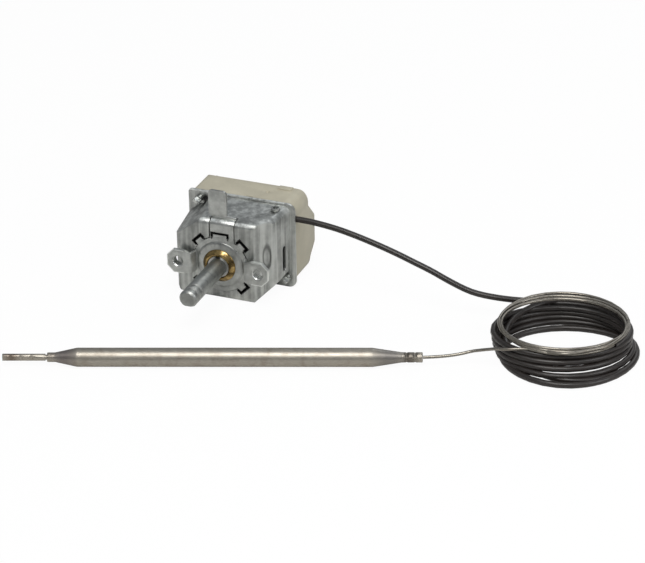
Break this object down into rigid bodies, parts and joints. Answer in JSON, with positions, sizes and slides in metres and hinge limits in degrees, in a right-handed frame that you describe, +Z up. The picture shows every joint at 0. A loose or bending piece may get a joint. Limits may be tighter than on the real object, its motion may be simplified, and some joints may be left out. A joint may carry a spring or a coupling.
{
  "type": "thermostat",
  "caption": "Bulb and capillary thermostat: D shaft in a brass bush, pressed steel cover with tapped ears and earth tab, moulded base, coiled sleeved capillary.",
  "frame": {"origin": "on the shaft axis, midway between the two tapped ear holes, in the front face of the ears that meets the panel", "axes": "+X to the right, +Y away from the person at the knob, into the appliance, +Z up"},
  "size_m": [0.1859, 0.1065, 0.038],
  "materials": {
    "zinc_steel": "zinc plated, satin",
    "plain_steel": "satin",
    "brass": "bright, slightly tarnished",
    "copper_alloy": "satin",
    "cream_plastic": "moulded, slightly soiled",
    "ceramic": "glazed white",
    "silver": "bright",
    "stainless": "drawn, with heat tint at its ends",
    "brown_sleeve": "woven and varnished"
  },
  "bodies": {
    "housing": {"front_cover": "zinc_steel", "mounting_bracket": "zinc_steel", "shaft_bush": "brass", "stop_pin": "plain_steel", "spindle_yoke": "plain_steel", "spindle_nut": "brass", "capsule_spring": "plain_steel", "capillary_inner": "stainless", "base": "cream_plastic", "rear_cover": "cream_plastic", "fixed_contact": "silver", "feed_terminal": "brass", "load_terminal": "brass", "terminal_rivets": "brass", "calibration_screw": "brass", "fixing_studs": "zinc_steel", "cover_rivet": "zinc_steel", "lead_sleeve": "brown_sleeve", "cord_coil": "brown_sleeve", "capillary_tail": "stainless", "bulb": "stainless", "fill_tube": "stainless"},
    "turning_shaft": {"shaft": "zinc_steel", "retaining_ring": "plain_steel", "thrust_washer": "plain_steel", "stop_disc": "zinc_steel", "shaft_clip": "plain_steel"},
    "adjusting_spindle": {"spindle": "brass"},
    "diaphragm": {"capsule_front": "stainless", "capsule_rear": "stainless", "capillary_stub": "plain_steel"},
    "button": {"capsule_button": "plain_steel"},
    "pin": {"push_pin": "ceramic"},
    "contact_arm": {"contact_spring": "copper_alloy", "moving_contact": "silver"}
  },
  "joints": [
    {"name": "shaft_turn", "type": "hinge", "parent": "housing", "child": "turning_shaft", "pos_m": [0, 0, 0], "axis": [0, 1, 0], "range_deg": [0, 270]},
    {"name": "spindle_feed", "type": "slide", "parent": "turning_shaft", "child": "adjusting_spindle", "axis": [0, -1, 0], "range_m": [0, 0.0005625]},
    {"name": "capsule_feed", "type": "slide", "parent": "housing", "child": "diaphragm", "axis": [0, -1, 0], "range_m": [0, 0.0005625]},
    {"name": "contact_open", "type": "hinge", "parent": "housing", "child": "contact_arm", "pos_m": [-0.0064, 0.0266, 0], "axis": [0, 0, 1], "range_deg": [0, 3.3], "stiffness_Nm_per_rad": 0.05, "springref_deg": -1.15},
    {"name": "pin_push", "type": "slide", "parent": "housing", "child": "pin", "axis": [0, 1, 0], "range_m": [0, 0.0003225]},
    {"name": "button_push", "type": "slide", "parent": "diaphragm", "child": "button", "axis": [0, 1, 0], "range_m": [0, 0.0003225]}
  ],
  "couplings": [
    {"joint": "shaft_turn", "follows": "spindle_feed", "rad_per_m": 8377.6},
    {"joint": "capsule_feed", "follows": "spindle_feed", "ratio": 1},
    {"joint": "pin_push", "follows": "button_push", "ratio": 1},
    {"joint": "contact_open", "follows": "button_push", "rad_per_m": 178.57}
  ]
}
